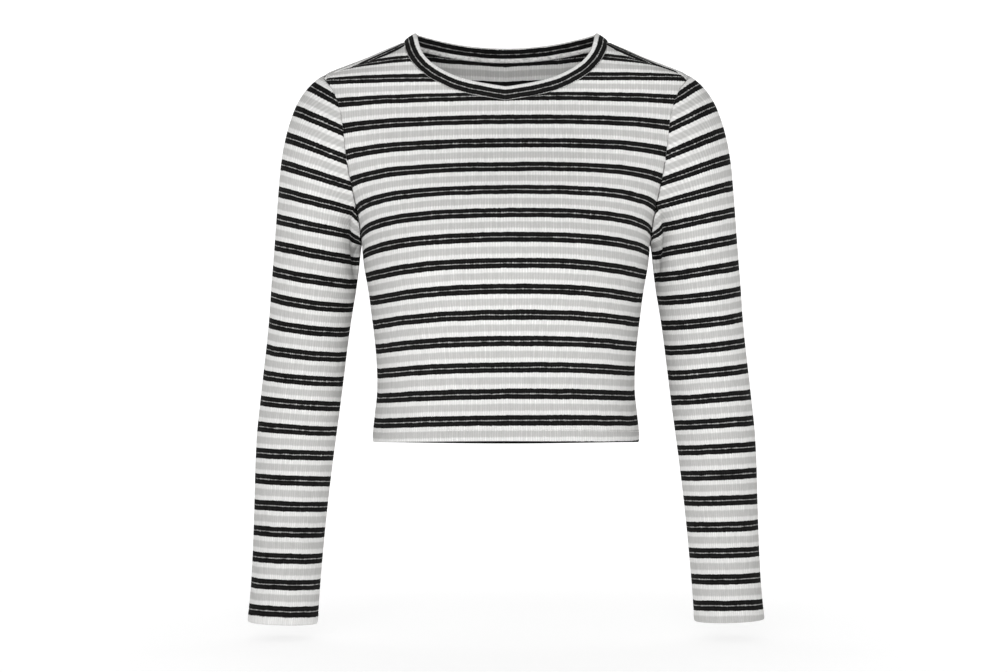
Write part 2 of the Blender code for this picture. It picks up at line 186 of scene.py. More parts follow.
def form(angle, height):
    """The body's form: x = half width cos a, y = -depth sin a (1 + k cos^2 a), z = height."""
    x = smooth(height, TORSO, "half_width") * np.cos(angle)
    y = -depth_at(height, angle > 0) * bulge(angle)
    return np.stack(np.broadcast_arrays(x, y, height), axis=-1)


def form_normal(angle, height):
    """The outward normal of the form: the slope along the angle crossed with that along the height."""
    round_it = form(angle + 1e-3, height) - form(angle - 1e-3, height)
    up_it = form(angle, height + 0.2 * MM) - form(angle, height - 0.2 * MM)
    return unit(np.cross(up_it, round_it))


def angle_at(x, height, side):
    """The form's angle where it is x wide at a height: side is 1 at the front and -1 at the back."""
    return side * np.arccos(np.clip(x / smooth(height, TORSO, "half_width"), 0, 1))


def way_round(angle, height, side):
    """The length round the form from the centre line to an angle, at one height."""
    return spans(form(np.linspace(side * np.pi / 2, angle, ROUND_SAMPLES), height)).sum(axis=0)


def angle_round(distance, height, side):
    """The form's angle where the way round from the centre line at a height is this long."""
    angles = side * np.linspace(np.pi / 2, 0, ROUND_SAMPLES)
    length = np.cumsum(spans(form(angles, np.asarray(height)[..., None]), axis=-2), axis=-1)
    length = np.concatenate([np.zeros_like(length[..., :1]), length], axis=-1)
    wanted = np.minimum(distance, length[..., -1])[..., None]
    before, low, high = bracket(length, length < wanted)
    share = (wanted - low) / (high - low)
    return (angles[before] * (1 - share) + angles[before + 1] * share)[..., 0]


def ridge_height(half_width):
    """The height at which the shoulders are this wide."""
    heights = np.linspace(ARMHOLE_TOP_HEIGHT - 15 * MM, 10 * MM, 400)
    return np.interp(-half_width, -smooth(heights, TORSO, "half_width"), heights)


def crown(x, y):
    """The height of the shoulder over a point of the plan, found by halving."""
    x, y = np.broadcast_arrays(x, y)
    low, high = np.full(x.shape, -80 * MM), ridge_height(x)
    for _ in range(30):
        middle = (low + high) / 2
        reach = np.abs(form(angle_at(x, middle, -np.sign(y)), middle)[..., 1])
        low, high = np.where(reach > np.abs(y), middle, low), np.where(reach > np.abs(y), high, middle)
    return (low + high) / 2


def over_plan(plan):
    """Points of the shoulders over points of the plan."""
    return np.concatenate([plan, crown(plan[..., 0], plan[..., 1])[..., None]], axis=-1)


def armhole(steps):
    """The armhole's angle and height on the form: a cosine in height, a sine in depth."""
    turn = 2 * np.pi * np.asarray(steps) / ARMHOLE_STEPS
    height = UNDERARM_HEIGHT + (ARMHOLE_TOP_HEIGHT - UNDERARM_HEIGHT) / 2 * (1 + np.cos(turn))
    share = ARMHOLE_HALF_DEPTH * np.abs(np.sin(turn)) / depth_at(height, np.sin(turn) > 0)
    angles = np.linspace(0, 1, 400)
    return np.sign(np.sin(turn)) * np.interp(share, bulge(angles), angles), height


def armhole_plane():
    """A point of the armhole's plane, and the way out of the body square to it."""
    top, bottom = form(*armhole(0)), form(*armhole(ARMHOLE_STEPS / 2))
    along = unit(top - bottom)
    return top, np.array([along[2], 0, -along[0]])


def shoulder_seam(points):
    """Points of the form along the shoulder seam, from the neck point out to the armhole."""
    end_angle, end_height = armhole(SHOULDER_SEAM_STEP)
    along = np.linspace(0, 1, points)
    x = NECK_HALF_WIDTH + (form(end_angle, end_height)[0] - NECK_HALF_WIDTH) * along
    angle = NECK_POINT_ANGLE + (end_angle - NECK_POINT_ANGLE) * along
    angle += SHOULDER_SEAM_BOW * np.sin(np.pi * np.sqrt(along))
    return form(angle, np.append(ridge_height(x / np.cos(angle))[:-1], end_height))


def neck_curve(side, turn):
    """X and Z of the neck's edge: x a sine of the turn, z a power of its cosine."""
    x, fall = NECK_HALF_WIDTH * np.sin(turn), np.maximum(np.cos(turn), 0)
    if side > 0:
        point = NECK_POINT[0] * np.exp(-(np.abs(x) / NECK_POINT[1]) ** NECK_POINT_POWER)
        height = shoulder_seam(8)[0, 2] - NECK_FRONT_DROP * fall**NECK_FRONT_POWER - point
    else:
        height = crown(NECK_HALF_WIDTH, NECK_BACK_CORNER) - NECK_BACK_DROP * fall**NECK_BACK_POWER
    return np.stack([x, height], axis=-1)


def neck_side(front, back, points):
    """The neck's edge at the side, in plan: straight but for a bow of half a sine outwards."""
    line = np.linspace(front[:2], back[:2], points)
    line[:, 0] += NECK_SIDE_BOW * np.sin(np.linspace(0, np.pi, points))
    return line


def rows_to_edge(count):
    """Shares of the way up a block, with rows drawn together at its upper edge for the seam."""
    even = np.linspace(0, 1, count)
    return np.sort(np.append(even, 1 - np.array([0.25, 0.5, 0.75]) * even[1]))


def seam_roll(distance):
    """How far the cloth rolls in near a seam: a bell of the distance from it."""
    return SEAM_DIP * bell(distance, SEAM_REACH)


def repeats_up(point, share, centre):
    """Stripe repeats above the lowest pair, between planes that rise from the side to the centre."""
    level = point[..., 2] - BODY_TILT * point[..., 0]
    share = share[..., None]
    planes = BODY_PAIRS["side"] + BODY_PAIRS[centre] * share
    if centre == "front":
        planes = planes + BODY_PAIRS["half_way"] * 4 * share * (1 - share)
    below, low, high = bracket(planes, planes < level[..., None])
    return (below + (level[..., None] - low) / (high - low))[..., 0]


def back_repeats(points, share, way):
    """Stripe repeats on the back: planes up to the blades, then a share of the way over the shoulder."""
    blades = points * [1, 1, 0] + [0, 0, BLADE_HEIGHT]
    at_blades = repeats_up(blades, share, "back")
    whole_way = np.interp(np.abs(points[..., 0]), OVER["x"], OVER["way"]) - OVER_SHIFT * points[..., 0]
    over = at_blades + (SHOULDER_PAIR - at_blades) * way / whole_way
    return np.where(points[..., 2] > BLADE_HEIGHT, over, repeats_up(points, share, "back"))


def way_above(points, before):
    """The way up each column of a grid above the blades' height; before is the way at its first row."""
    rise = np.maximum(np.abs(np.diff(points[..., 2], axis=0)), 1e-9)
    above = spans(points) * np.clip((points[1:, :, 2] - BLADE_HEIGHT) / rise, 0, 1)
    return before + np.concatenate([np.zeros((1, points.shape[1])), np.cumsum(above, axis=0)])


def to_top(points):
    """The distance from each point of a grid to its last row, along its column."""
    return np.concatenate([np.cumsum(spans(points)[::-1], axis=0)[::-1], np.zeros((1, points.shape[1]))])


def body_panel(side):
    """Half of the front or back as grids of points, normals, rib counts and seam distances.

    The lower block's columns are ribs at even distances round the form from the centre line. The
    upper block rules each rib straight on in front view to the neck or the shoulder.
    """
    steps = side * np.linspace(TURN_STEP[side], ARMHOLE_STEPS / 2, SAMPLES)
    ways = way_round(*armhole(steps), side)
    spacing = RIB / POINTS_A_RIB
    turn_columns = int(round(ways[0] / spacing))
    side_columns = int(round((ways[-1] - ways[0]) / spacing))
    ribs = np.append(np.linspace(0, ways[0], turn_columns + 1),
                     np.linspace(ways[0], ways[-1], side_columns + 1)[1:])
    lower_steps = np.interp(ribs[turn_columns:], ways, steps)
    lower_angles, lower_heights = armhole(lower_steps)
    dip = MIDDLE_DIP * np.cos(np.pi / 2 * ribs[:turn_columns + 1] / ways[0]) ** 2
    tops = np.append(lower_heights[0] - dip, lower_heights[1:])
    hem = HEM_SIDE_HEIGHT + side * HEM_TILT * np.cos(np.pi / 2 * ribs / ways[-1])
    start = hem + HEM_ROWS[-1]
    shares = np.linspace(0, 1, LOWER_ROWS)[:, None]
    heights = np.concatenate([hem + HEM_ROWS[:-1, None], start + (tops - start) * shares])
    levels = np.linspace(HEM_SIDE_HEIGHT - 10 * MM, 0, 300)
    quarter = np.interp(heights, levels, way_round(0 * levels, levels, side))
    spread = np.where(heights < UNDERARM_HEIGHT, quarter / ways[-1], 1)
    angles = angle_round(ribs * spread, heights, side)
    angles[:, -1] = 0
    angles[-1, turn_columns:] = lower_angles
    angles = side * np.abs(angles)
    lower = form(angles, heights), form_normal(angles, heights), ribs + 0 * heights, \
        (ribs[-1] - ribs) * spread

    # The ribs from the block's top, or from the upper armhole, to the neck and shoulder.
    steps = side * np.linspace(TURN_STEP[side], SHOULDER_SEAM_STEP, SAMPLES)
    ways = np.maximum.accumulate(way_round(*armhole(steps), side))
    neck_columns = int(round(NECK_HALF_WIDTH / spacing))
    tip = form(*armhole(side * SHOULDER_SEAM_STEP))
    shoulder_columns = int(round((tip[0] - NECK_HALF_WIDTH) / spacing))
    outer = neck_columns + shoulder_columns - turn_columns
    rising = ways + 1e-9 * np.arange(SAMPLES)
    upper_steps = np.interp(np.linspace(ways[0], ways[-1], outer + 1)[1:], rising, steps)
    bottom = np.concatenate([lower[0][-1, :turn_columns + 1], form(*armhole(upper_steps))])[:, [0, 2]]
    neck = neck_curve(side, np.arcsin(np.linspace(0, 1, neck_columns + 1)))
    if side > 0:
        shoulder = shoulder_seam(shoulder_columns + 1)
        top = np.concatenate([neck[:-1], shoulder[:, [0, 2]]])
    else:
        x = np.linspace(NECK_HALF_WIDTH, tip[0], shoulder_columns + 1)
        y = np.linspace(NECK_BACK_CORNER, tip[1], shoulder_columns + 1)
        top = np.concatenate([neck[:-1], np.stack([x, crown(x, y)], axis=-1)])
    flat = bottom + (top - bottom) * rows_to_edge(BLOCK_ROWS)[:, None, None]
    angles = angle_at(flat[..., 0], flat[..., 1], side)
    points = form(angles, flat[..., 1])
    if side > 0:
        points[-1, neck_columns:] = shoulder
    else:
        points[-1, neck_columns:, 1] = y
    points[0, :turn_columns + 1] = lower[0][-1, :turn_columns + 1]
    rib_at = np.append(ribs[:turn_columns + 1], ribs[turn_columns] + spacing * np.arange(1, outer + 1))
    upper = points, form_normal(angles, flat[..., 1]), rib_at + 0 * angles, to_top(points)
    blocks = [lower, upper]
    if side < 0:
        # The back goes on over the ridge as a patch between four lines: its own top row, the
        # shoulder seam, the neck's side and the top of the armhole.
        seam = shoulder_seam(shoulder_columns + 1)
        arm = form(*armhole(np.linspace(-SHOULDER_SEAM_STEP, SHOULDER_SEAM_STEP, BLOCK_ROWS)))
        left = neck_side(points[-1, neck_columns], seam[0], BLOCK_ROWS)
        s = np.linspace(0, 1, shoulder_columns + 1)[:, None]
        t = np.linspace(0, 1, BLOCK_ROWS)[:, None, None]
        first, last = points[-1, neck_columns:, :2], seam[:, :2]
        plan = ((1 - t) * first + t * last + (1 - s) * left[:, None] + s * arm[:, None, :2]
                - (1 - s) * (1 - t) * first[0] - s * (1 - t) * first[-1]
                - (1 - s) * t * last[0] - s * t * last[-1])
        over = over_plan(plan)
        over[0], over[-1], over[:, -1] = points[-1, neck_columns:], seam, arm
        angles = angle_at(over[..., 0], over[..., 2], -np.sign(over[..., 1]))
        upper[3][:, neck_columns:] = SEAM_REACH * 5
        from_neck = np.maximum(spacing * np.arange(-1, shoulder_columns), 0)
        blocks.append((over, form_normal(angles, over[..., 2]), rib_at[neck_columns:] + 0 * over[..., 0],
                       np.minimum(to_top(over), from_neck)))
    return blocks


def body_share(points, side):
    """How far forward or back a point lies, as a share of the form's depth there."""
    height = np.clip(points[..., 2], TORSO["height"][0], TORSO["height"][-1])
    return np.clip(np.abs(points[..., 1]) / depth_at(height, side > 0), 0, 1)


def rib_relief(rib):
    """Depth below the crest of a rib: narrow valleys, cos^4 of half a turn a rib."""
    return RIB_RELIEF * np.cos(np.pi * rib / RIB) ** 4


def grid_mesh(name, blocks):
    """A mesh from grids of points, welded where they meet.

    Each grid comes with its UV map of ribs and stripe repeats, and with the rows that lie double,
    which become the mesh's "doubled" attribute.
    """
    verts, faces, uvs, doubled = [], [], [], []
    for points, uv, layers in blocks:
        rows, columns = points.shape[:2]
        index = np.arange(rows * columns).reshape(rows, columns) + sum(len(part) for part in verts)
        quads = np.stack([index[:-1, :-1], index[:-1, 1:], index[1:, 1:], index[1:, :-1]], axis=-1)
        verts.append(points.reshape(-1, 3))
        uvs.append(uv.reshape(-1, 2))
        faces.append(quads.reshape(-1, 4))
        doubled.append(np.broadcast_to(layers, (rows, columns)).ravel())
    verts, faces, uvs, doubled = (np.concatenate(part) for part in (verts, faces, uvs, doubled))
    mesh = bpy.data.meshes.new(name)
    mesh.from_pydata(verts, [], faces.tolist())
    mesh.uv_layers.new(name="knit").data.foreach_set("uv", uvs[faces.ravel()].ravel().astype(np.float32))
    mesh.attributes.new("doubled", "FLOAT", "POINT").data.foreach_set("value", doubled.astype(np.float32))
    shape = bmesh.new()
    shape.from_mesh(mesh)
    bmesh.ops.remove_doubles(shape, verts=shape.verts, dist=2e-6)
    bmesh.ops.dissolve_degenerate(shape, edges=shape.edges, dist=1e-7)
    shape.to_mesh(mesh)
    shape.free()
    mesh.shade_smooth()
    return mesh


def placed(name, data):
    """A new object in the scene."""
    thing = bpy.data.objects.new(name, data)
    bpy.context.scene.collection.objects.link(thing)
    return thing


def cloth_piece(name, mesh, material, thickness=CLOTH):
    """An object of cloth: the mesh is its right side, and its wall goes inwards, double at a hem."""
    piece = placed(name, mesh)
    mesh.materials.append(material)
    doubled = np.empty(len(mesh.vertices), dtype=np.float32)
    mesh.attributes["doubled"].data.foreach_get("value", doubled)
    wall = piece.modifiers.new("cloth", "SOLIDIFY")
    wall.offset = -1
    wall.thickness = thickness
    if doubled.any():
        turned_up = piece.vertex_groups.new(name="turned up")
        turned_up.add(np.flatnonzero(doubled > 0.5).tolist(), 1.0, "REPLACE")
        wall.thickness = 2 * thickness
        wall.vertex_group = turned_up.name
        wall.thickness_vertex_group = 0.5
    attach(piece, "root")
    return piece


class Yarn:
    """A socket in a material's tree. Sums on it add Math nodes, and node() adds any other node."""

    def __init__(self, tree, socket=None):
        self.tree, self.socket = tree, socket

    def node(self, kind, settings, values, output=0):
        """Any node: its type, its settings, and the values or links of its sockets."""
        node = self.tree.nodes.new(kind)
        for name, value in settings.items():
            setattr(node, name, value)
        self.fill(node, values)
        return Yarn(self.tree, node.outputs[output])

    def fill(self, node, values):
        """Sets the inputs of a node, each to a value or to a link from a socket."""
        for key, value in values.items():
            if isinstance(value, Yarn):
                self.tree.links.new(value.socket, node.inputs[key])
            else:
                node.inputs[key].default_value = value

    def maths(self, operation, *others, clamp=False):
        """A Math node with this value first."""
        settings = {"operation": operation, "use_clamp": clamp}
        return self.node("ShaderNodeMath", settings, dict(enumerate((self, *others))))

    def __add__(self, other):
        return self.maths("ADD", other)

    def __sub__(self, other):
        return self.maths("SUBTRACT", other)

    def __rsub__(self, other):
        return self * -1 + other

    def __mul__(self, other):
        return self.maths("MULTIPLY", other)

    def __abs__(self):
        return self.maths("ABSOLUTE")

    __radd__, __rmul__ = __add__, __mul__

    def below(self, limit, soft):
        """1 where the value is under a limit and 0 over it, with a soft step between."""
        return (limit - self).maths("MULTIPLY_ADD", 1 / soft, 0.5, clamp=True)

    def mixed(self, low, high):
        """A colour between two others, this value of the way."""
        return self.node("ShaderNodeMix", {"data_type": "RGBA"}, {0: self, 6: low, 7: high}, output=2)

    def noise(self, scale, detail=1.0):
        """Noise about zero at this place."""
        values = {"Vector": self, "Scale": scale, "Detail": detail}
        return self.node("ShaderNodeTexNoise", {}, values) - 0.5

    def bump(self, strength, distance):
        """The normal of a surface raised by this height."""
        values = {"Height": self, "Strength": strength, "Distance": distance}
        return self.node("ShaderNodeBump", {}, values)


def new_material(name):
    """A material, its shader, and a start for the sockets of its tree."""
    material = bpy.data.materials.new(name)
    material.use_nodes = True
    return material, material.node_tree.nodes["Principled BSDF"], Yarn(material.node_tree)


BLACK = (0.0064, 0.0063, 0.0061, 1)
WHITE = (0.75, 0.747, 0.736, 1)
GREY = (0.518, 0.515, 0.505, 1)
PAIR_HALF = 5.45                # mm from the middle of a pair of black stripes to its edge
LINE_HALF = 0.42                # mm, the thin white line between the two
MID_COURSE = 3.0                # mm from the pair's middle to the paler course inside each stripe
WHITE_HALF = 10.1               # mm from the middle of a pair to where the grey begins
COURSES = 23                    # rows of loops in one repeat
GREY_SOFT, EDGE_SOFT = 1.7, 0.35  # mm over which the grey begins, and over which a black stripe ends
RAGGED, WANDER = 1.5, 1.2       # mm that a noise of 1 moves a stripe's edge: fine, and in slow drifts
LINE_SHOWS = 0.60               # how much of the thin line's white shows between the black courses


def rib_knit(name):
    """Matt rib knit. Its UV map counts ribs across and stripe repeats up, and both wander a little.

    Stripes are distances from the middle of a pair of black ones. The yarn's shade runs in short
    lengths up each rib, the valleys between ribs are darkened with painted shade, and the loops
    are V-shaped bump.
    """
    material, shader, yarn = new_material(name)
    uv = yarn.node("ShaderNodeUVMap", {"uv_map": "knit"}, {})
    rib, repeat = (yarn.node("ShaderNodeSeparateXYZ", {}, {0: uv}, output=axis) for axis in "XY")
    place = yarn.node("ShaderNodeTexCoord", {}, {}, output="Object")
    ragged, wander = place.noise(900.0), place.noise(55.0)
    fuzz, cloudy = place.noise(1500.0, 2.0), place.noise(9.0, 2.0)
    streak = yarn.node("ShaderNodeCombineXYZ", {}, {0: rib, 1: repeat * 1.7}).noise(1.0, 2.0)
    dashes = yarn.node("ShaderNodeCombineXYZ", {}, {0: rib * 0.45, 1: repeat * 0.5}).noise(1.0, 2.0)
    crest = (rib * (2 * np.pi)).maths("COSINE")

    # The stripes.
    course = (repeat + 0.5).maths("FRACT") - 0.5
    away = abs(course * (REPEAT / MM) + crest * 0.12 + ragged * RAGGED + wander * WANDER)
    in_grey = 1 - away.below(WHITE_HALF, GREY_SOFT)
    in_pair = away.below(PAIR_HALF, EDGE_SOFT)
    on_line = away.below(dashes * 1.5 + LINE_HALF, EDGE_SOFT)
    mid_course = abs(away - MID_COURSE).below(0.45, 0.6)
    pale = in_grey.mixed(WHITE, GREY)
    dark = (mid_course * 0.012 + on_line * LINE_SHOWS).mixed(BLACK, WHITE)
    stripes = in_pair.mixed(pale, dark)

    # The yarn's shade, which shows more in the black, and painted shade in the valleys between ribs.
    valley_shade = (crest + 1) * 0.5
    uneven_and_valley_shade = streak * 0.56 + fuzz * 0.28 + cloudy * 0.10 - valley_shade * (streak * 0.5 + 0.13)
    shade = uneven_and_valley_shade * (in_pair * 3.4 + 1) + 1
    colour = yarn.node("ShaderNodeVectorMath", {"operation": "SCALE"}, {0: stripes, "Scale": shade})

    # The loops of each course slant down from a rib's crest to its valleys.
    loops = (repeat * (2 * np.pi * COURSES) + abs(crest) * 1.6).maths("SINE")
    normal = (loops * 0.5 + fuzz * 1.2).bump(0.55, 0.12 * MM)
    yarn.fill(shader, {"Base Color": colour, "Normal": normal, "Roughness": fuzz * 0.1 + 0.86,
                       "Sheen Weight": 0.012, "Sheen Roughness": 0.5, "Specular IOR Level": 0.08})
    return material


# Soft folds on the body, in front view: where each one starts and ends, how far its middle bows
# sideways, its half width and how far it stands out. Less than nothing is a trough.
FOLD_COLUMNS = "x z to_x to_z bow width depth"
FOLDS = {
    1: table(
        FOLD_COLUMNS,
        (-147, -238, -88, -266, 3, 9, -0.9), (-146, -252, -70, -302, 4, 11, 0.8),
        (-143, -276, -96, -318, -3, 10, -0.7), (148, -240, 96, -262, 3, 8, -0.8),
        (146, -256, 78, -296, -4, 12, 0.8), (142, -288, 104, -322, 3, 9, -0.6),
        (-152, -92, -136, -168, 4, 9, -0.8), (-128, -84, -118, -160, -3, 12, 0.6),
        (153, -98, 139, -176, -4, 10, -0.8), (126, -70, 119, -150, 3, 12, 0.5),
        (-120, -352, -22, -346, 5, 10, -0.7), (18, -362, 124, -350, -5, 12, -0.7),
        (-64, -330, 52, -334, 4, 13, 0.6), (-133, -384, -84, -396, 2, 11, -0.5),
        (96, -388, 134, -372, 3, 10, 0.5), (-46, -128, 40, -140, 6, 16, -0.5)),
    -1: table(
        FOLD_COLUMNS,
        (-146, -240, -82, -280, 4, 10, -1.0), (-142, -262, -64, -322, -5, 12, 0.9),
        (147, -236, 90, -272, -4, 9, -1.0), (144, -258, 70, -312, 5, 12, 0.9),
        (-136, -96, -120, -184, 5, 11, -0.9), (138, -90, 124, -190, -5, 10, -0.9),
        (-112, -84, -98, -170, -4, 13, 0.7), (110, -82, 101, -162, 4, 13, 0.7),
        (-14, -120, -6, -300, 6, 16, -1.0), (-118, -340, -12, -352, 5, 11, -1.0),
        (8, -334, 120, -346, -6, 12, -0.9), (-92, -362, 64, -372, 6, 12, 0.8),
        (-130, -322, -70, -330, 3, 9, 0.7), (60, -318, 128, -322, 3, 9, 0.7),
        (-70, -392, 88, -388, -4, 12, -0.6)),
}


def folded(points, folds):
    """How far cloth stands out in soft folds: each is depth sin(pi t) exp(-(across / width)^2)."""
    start = np.stack([folds["x"], folds["z"]], axis=-1)
    run = np.stack([folds["to_x"], folds["to_z"]], axis=-1) - start
    length = np.linalg.norm(run, axis=-1)
    flat = points[..., None, [0, 2]] - start
    swell = np.sin(np.pi * np.clip((flat * run).sum(axis=-1) / length**2, 0, 1))
    across = (flat[..., 0] * run[:, 1] - flat[..., 1] * run[:, 0]) / length - folds["bow"] * swell
    return (folds["depth"] * swell * bell(across, folds["width"])).sum(axis=-1)


def facing_out(normal):
    """1 where cloth faces forwards or back, falling to 0 where it faces sideways."""
    return np.clip(np.abs(normal[..., 1]) * 2 - 0.3, 0, 1)


def turned_edge(up):
    """Extra height near a turned-up edge: the doubled cloth stands out, the stitches draw it in."""
    doubled = HEM_STAND * (0.5 - 0.5 * np.tanh((up - HEM_TURN) / MM))
    grooves = sum(bell(up - HEM_ROWS[row], STITCH_GROOVE[1]) for row in STITCH_ROWS)
    return doubled - STITCH_GROOVE[0] * grooves - EDGE_ROLL[0] * np.exp(-up / EDGE_ROLL[1])


def lies_double(up):
    """Whether the cloth this far above a turned-up edge has its second layer behind it."""
    return up < HEM_TURN + 0.1 * MM


def above_hem(points, side):
    """The height of points of the form above the body's hem."""
    share = np.abs(points[..., 1]) / depth_at(HEM_SIDE_HEIGHT, side > 0)
    return points[..., 2] - HEM_SIDE_HEIGHT - side * HEM_TILT * share


def dressed(block, side, way):
    """A block of a panel with its ribs, seams, hem and folds in relief, mirrored to both sides."""
    points, normal, rib, seam = block
    top, out = armhole_plane()
    from_armhole = np.abs((points - top) @ out)
    by_armhole = (points[..., 2] > UNDERARM_HEIGHT - SEAM_CALM) & (points[..., 0] > ARMHOLE_LEAST_X)
    from_seam = np.minimum(seam, np.where(by_armhole, from_armhole, 1))
    rolled, by_seam = seam_roll(from_seam), bell(from_seam, SEAM_CALM)
    up = above_hem(points, side)
    relief = turned_edge(up) - rib_relief(rib) - rolled
    share = body_share(points, side)
    halves = []
    for hand in (-1, 1):
        whole = points * [hand, 1, 1]
        repeats = repeats_up(whole, share, "front") if side > 0 else back_repeats(whole, share, way)
        drape = folded(whole, FOLDS[side]) * facing_out(normal) * (1 - by_seam)
        half = (points + normal * (relief + drape)[..., None]) * [hand, 1, 1]
        at_side = (seam < 0.1 * MM) & (points[..., 2] < UNDERARM_HEIGHT)
        half[..., 1] -= side * np.where(at_side, SIDE_SEAM_GAP / 2, 0)
        half[..., 0] = np.where(points[..., 0] < 1e-6, 0, half[..., 0])
        grid = half, np.stack([hand * rib / RIB, repeats], axis=-1), lies_double(up)
        turned = (hand < 0) != (side < 0)
        halves.append([part[:, ::-1] for part in grid] if turned else grid)
    return halves


body_knit = rib_knit("striped rib knit")
panels = {side: body_panel(side) for side in (1, -1)}
for name, side, cut, area in (("front", 1, (0.448, 0.438), 0.158), ("back", -1, (0.404, 0.507), 0.174)):
    way, parts = 0, []
    for block in panels[side]:
        if side < 0:
            # An outer column that starts above the blades has come this way up the armhole's edge.
            start = block[0][0]
            levels = np.linspace(BLADE_HEIGHT, np.maximum(start[:, 2], BLADE_HEIGHT), 40)
            climbed = spans(form(angle_at(start[:, 0], levels, -1), levels)).sum(axis=0)
            before = climbed if block is not panels[side][2] else way[-1, -start.shape[0]:]
            way = way_above(block[0], before)
        parts += dressed(block, side, way)
    piece = cloth_piece(name + "_cloth", grid_mesh(name + "_cloth", parts), body_knit)
    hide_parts(name)

# ---------------------------------------------------------------------------------------------
# Sleeves: two long set-in sleeves of the same knit, each with its own run of stripes, sewn into
# the armholes with a seam under the arm. Their cuffs are turned up and stitched like the hem.
# ---------------------------------------------------------------------------------------------
SLEEVE = table(
    "along outer_x outer_z inner_x inner_z half_depth centre_y",
    (0, 192.5, -31.5, 154, -213, 44, 0),
    (12, 201.5, -37.2, 154.9, -215.4, 45, 0),
    (26, 211.6, -47.2, 155.5, -218, 46, 0),
    (42, 221.2, -61.5, 155.9, -220.8, 47, 0),
    (62, 229.4, -82, 156.1, -223.8, 47.8, 0),
    (84, 235.3, -104, 156.3, -227.2, 48, 0),
    (106, 239.3, -128, 156.5, -231, 48, 0),
    (128, 241.6, -153, 156.8, -235.5, 47.5, 0),
    (150, 243.5, -178, 157.3, -241.5, 47, -0.3),
    (174, 245.3, -204, 158.4, -250, 46.4, -0.7),
    (200, 247.3, -231, 160.6, -263, 45.8, -1.2),
    (228, 249.5, -259, 163.8, -282, 45, -1.8),
    (258, 251.3, -288, 167.3, -305, 44.2, -2.6),
    (290, 254, -318, 170.6, -331, 43.4, -3.6),
    (322, 257.3, -348, 173.8, -358, 42.6, -5),
    (354, 260.6, -379, 177.4, -387, 41.8, -6.8),
    (388, 263.9, -412, 181.4, -418, 41, -9),
    (422, 265.5, -446, 185.5, -450.5, 40, -11.5),
    (456, 266.2, -480, 189.3, -483.5, 39, -14),
    (490, 267, -514, 192.7, -517, 38, -16.5),
    (524, 268.1, -547, 195.6, -550, 37, -19),
    (556, 269.8, -579, 198.1, -581.5, 36.2, -21),
    (590, 273.1, -612.3, 199.9, -614.6, 35.8, -22.5),
)
SLEEVE_GAP = 0.08 * MM
SLEEVE_RIBS = 104
ARMHOLE_ROWS = np.array([0, 0.8, 1.7, 3, 5, 8]) * MM    # drawn together at the armhole's seam
SLEEVE_ROWS = np.linspace(12, 570, 84) * MM             # from there down to the cuff's stitches
SLEEVE_EASE = (0.7 * MM, 30 * MM)  # the cloth stands off its form by this, from this far below the seam
SLEEVE_CALM = (8 * MM, 10 * MM)    # folds die out this near the armhole's seam, and the cuff's edge
CUFF_LIFT = {-1: 0, 1: 2.5 * MM}   # the left and the right cuff end this much above the form's
CUFF_LIFT_REACH = 40 * MM
CUFF_SHARE = {-1: 0.55, 1: 0.9}    # below the lowest pair the stripes go on at this share of a repeat
PAIR_EDGE = 0.2                    # repeats from the middle of a pair to just past its edge

# The height of each pair of black stripes on the sleeve's outer and inner edges, from the cuff up,
# and how much higher it lies at the sleeve's front than between the two.
SLEEVE_PAIRS = {
    "sleeve_left": table(
        "outer inner front",
        (-598.8, -601.1, 1.0), (-570.4, -572.8, 0.5), (-543.3, -545.6, 0.7), (-515.6, -518.2, 0.6),
        (-489.0, -491.4, 1.0), (-461.3, -464.6, 0.8), (-434.4, -437.4, 0.9), (-406.2, -411.5, -0.1),
        (-378.5, -385.2, -0.6), (-351.3, -358.4, -1.7), (-323.6, -332.1, -2.8), (-295.2, -305.0, -4.0),
        (-267.3, -279.3, -4.3), (-240.6, -255.0, -3.2), (-213.2, -229.8, -2.3), (-185.6, -204.3, -1.9),
        (-156.7, -178.6, -1.5), (-127.9, -152.1, -1.1), (-98.8, -124.4, -0.9), (-70.7, -93.7, -0.7),
        (-44.3, -62.3, 0)),
    "sleeve_right": table(
        "outer inner front",
        (-593.9, -595.1, 1.6), (-565.7, -567.3, 1.1), (-538.3, -539.9, 1.2), (-510.3, -512.5, 0.9),
        (-483.0, -484.9, 0.9), (-455.4, -458.9, 0.8), (-427.7, -431.9, 0.9), (-400.3, -405.5, 0.7),
        (-372.6, -378.9, 0.1), (-344.2, -352.1, -1.0), (-317.2, -325.3, -1.9), (-289.4, -298.7, -2.6),
        (-262.0, -272.0, -2.8), (-234.8, -248.4, -2.0), (-206.3, -222.1, -2.0), (-178.4, -197.6, -1.3),
        (-150.0, -172.0, -1.4), (-122.0, -148.5, -0.3), (-93.7, -120.4, -0.6), (-65.8, -90.4, -0.7),
        (-42.0, -59.5, 0)),
}


def sleeve_surface(along, turn):
    """Points of the right sleeve: an ellipse across each station, blended into the armhole's curve.

    point = centre + reach cos(turn), y = centre - half depth sin(turn), plus what is left of the
    armhole's own shape, which fades as a bell of the distance along the sleeve.
    """
    at = {name: smooth(along, SLEEVE, name)[:, None] for name in list(SLEEVE)[1:]}
    outwards = (1 + np.cos(turn)) / 2
    x, z = (at["inner_" + k] + (at["outer_" + k] - at["inner_" + k]) * outwards for k in "xz")
    y = at["centre_y"] - at["half_depth"] * np.sin(turn)
    points = np.stack([x, y, z], axis=-1)
    seam = form(*armhole(turn * ARMHOLE_STEPS / (2 * np.pi)))
    settle = bell(along, SLEEVE["along"][2])[:, None, None]
    points += settle * (seam - points[0])
    points[0] += armhole_plane()[1] * SLEEVE_GAP
    return points


